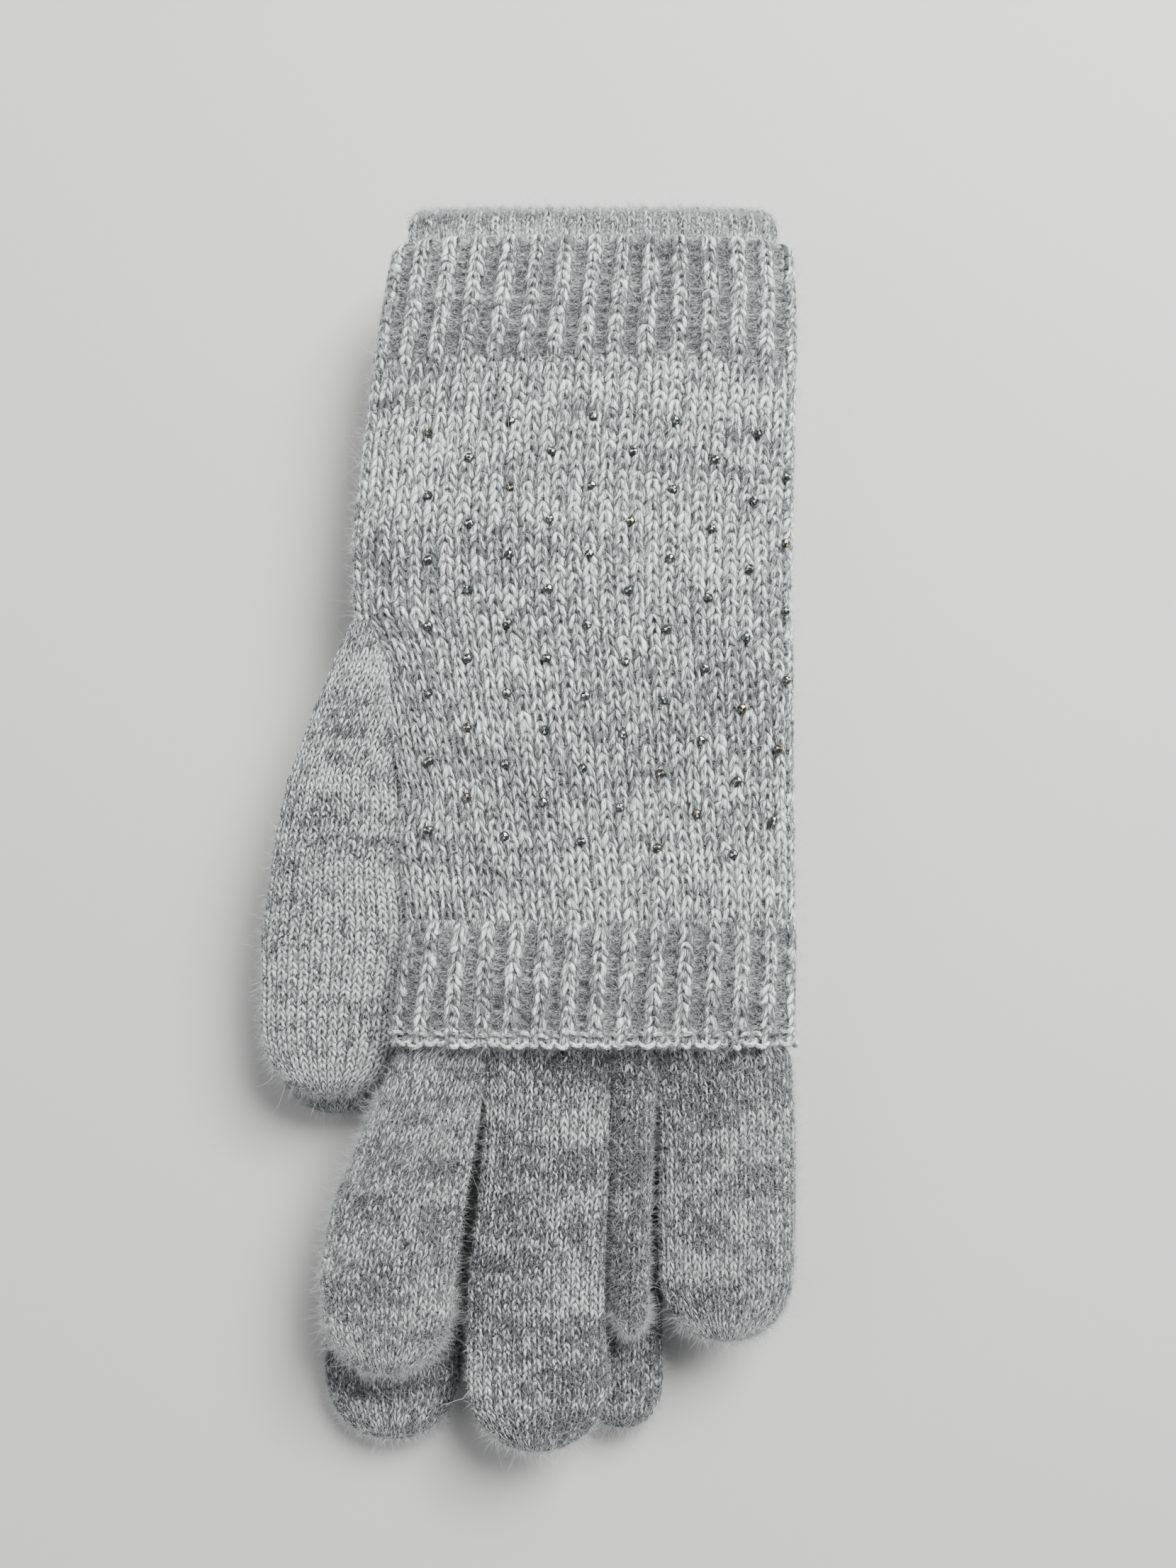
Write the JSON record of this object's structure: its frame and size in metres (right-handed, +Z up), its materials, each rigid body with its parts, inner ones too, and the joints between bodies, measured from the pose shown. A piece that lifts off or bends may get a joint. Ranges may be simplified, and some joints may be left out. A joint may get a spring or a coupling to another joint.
{
  "type": "pair of convertible layered gloves",
  "caption": "Pair of knitted full-finger gloves worn under fingerless over-mitts with a thumb opening, ribbed ends and crystals, laid palm to palm.",
  "frame": {"origin": "under the middle of the pair's bounding box, on the surface that it lies on", "axes": "+X towards the little fingers, +Y from the fingertips towards the wrists, +Z up, out of the back of the left hand"},
  "size_m": [0.12, 0.28, 0.0311],
  "materials": {
    "glove_knit": "fuzzy melange jersey knit",
    "mitt_knit": "fuzzy melange stockinette knit",
    "mitt_rib": "fuzzy melange 1x1 rib knit",
    "crystal": "faceted, dark metallic foil back"
  },
  "bodies": {
    "right_glove": {"right_cuff": "glove_knit", "right_palm": "glove_knit"},
    "right_mitt": {"right_mitt_wrist_rib": "mitt_rib", "right_mitt_body": "mitt_knit", "right_mitt_knuckle_rib": "mitt_rib", "right_mitt_bind_off_edge": "mitt_rib", "right_mitt_thumb_edge": "mitt_rib", "right_crystals": "crystal"},
    "right_thumb": {"right_thumb": "glove_knit"},
    "right_index": {"right_index_finger": "glove_knit"},
    "right_middle": {"right_middle_finger": "glove_knit"},
    "right_ring": {"right_ring_finger": "glove_knit"},
    "right_little": {"right_little_finger": "glove_knit"},
    "left_glove": {"left_cuff": "glove_knit", "left_palm": "glove_knit"},
    "left_mitt": {"left_mitt_wrist_rib": "mitt_rib", "left_mitt_body": "mitt_knit", "left_mitt_knuckle_rib": "mitt_rib", "left_mitt_bind_off_edge": "mitt_rib", "left_mitt_thumb_edge": "mitt_rib", "left_crystals": "crystal"},
    "left_thumb": {"left_thumb": "glove_knit"},
    "left_index": {"left_index_finger": "glove_knit"},
    "left_middle": {"left_middle_finger": "glove_knit"},
    "left_ring": {"left_ring_finger": "glove_knit"},
    "left_little": {"left_little_finger": "glove_knit"}
  },
  "joints": [
    {"name": "left_hand_lift", "type": "slide", "parent": "right_glove", "child": "left_glove", "axis": [0, 0, 1], "range_m": [0, 0.12]},
    {"name": "right_mitt_slide", "type": "slide", "parent": "right_glove", "child": "right_mitt", "axis": [0, 1, 0], "range_m": [0, 0.012]},
    {"name": "right_thumb_swing", "type": "hinge", "parent": "right_glove", "child": "right_thumb", "pos_m": [-0.042, 0.038, 0.0077], "axis": [0, 0, -1], "range_deg": [0, 35]},
    {"name": "right_index_fold", "type": "hinge", "parent": "right_glove", "child": "right_index", "pos_m": [-0.0193, -0.0571, 0.0077], "axis": [1, 0, 0], "range_deg": [0, 90]},
    {"name": "right_middle_fold", "type": "hinge", "parent": "right_glove", "child": "right_middle", "pos_m": [0.0021, -0.0571, 0.0077], "axis": [1, 0, 0], "range_deg": [0, 90]},
    {"name": "right_ring_fold", "type": "hinge", "parent": "right_glove", "child": "right_ring", "pos_m": [0.0208, -0.0571, 0.0077], "axis": [1, 0, 0], "range_deg": [0, 90]},
    {"name": "right_little_fold", "type": "hinge", "parent": "right_glove", "child": "right_little", "pos_m": [0.0419, -0.0571, 0.0077], "axis": [1, 0, 0], "range_deg": [0, 90]},
    {"name": "left_mitt_slide", "type": "slide", "parent": "left_glove", "child": "left_mitt", "axis": [0, 1, 0], "range_m": [0, 0.012]},
    {"name": "left_thumb_swing", "type": "hinge", "parent": "left_glove", "child": "left_thumb", "pos_m": [-0.042, 0.038, 0.0234], "axis": [0, 0, -1], "range_deg": [0, 35]},
    {"name": "left_index_fold", "type": "hinge", "parent": "left_glove", "child": "left_index", "pos_m": [-0.0192, -0.0571, 0.0234], "axis": [-1, 0, 0], "range_deg": [0, 90]},
    {"name": "left_middle_fold", "type": "hinge", "parent": "left_glove", "child": "left_middle", "pos_m": [0.0041, -0.0571, 0.0234], "axis": [-1, 0, 0], "range_deg": [0, 90]},
    {"name": "left_ring_fold", "type": "hinge", "parent": "left_glove", "child": "left_ring", "pos_m": [0.0223, -0.0571, 0.0234], "axis": [-1, 0, 0], "range_deg": [0, 90]},
    {"name": "left_little_fold", "type": "hinge", "parent": "left_glove", "child": "left_little", "pos_m": [0.0414, -0.0571, 0.0234], "axis": [-1, 0, 0], "range_deg": [0, 90]}
  ]
}
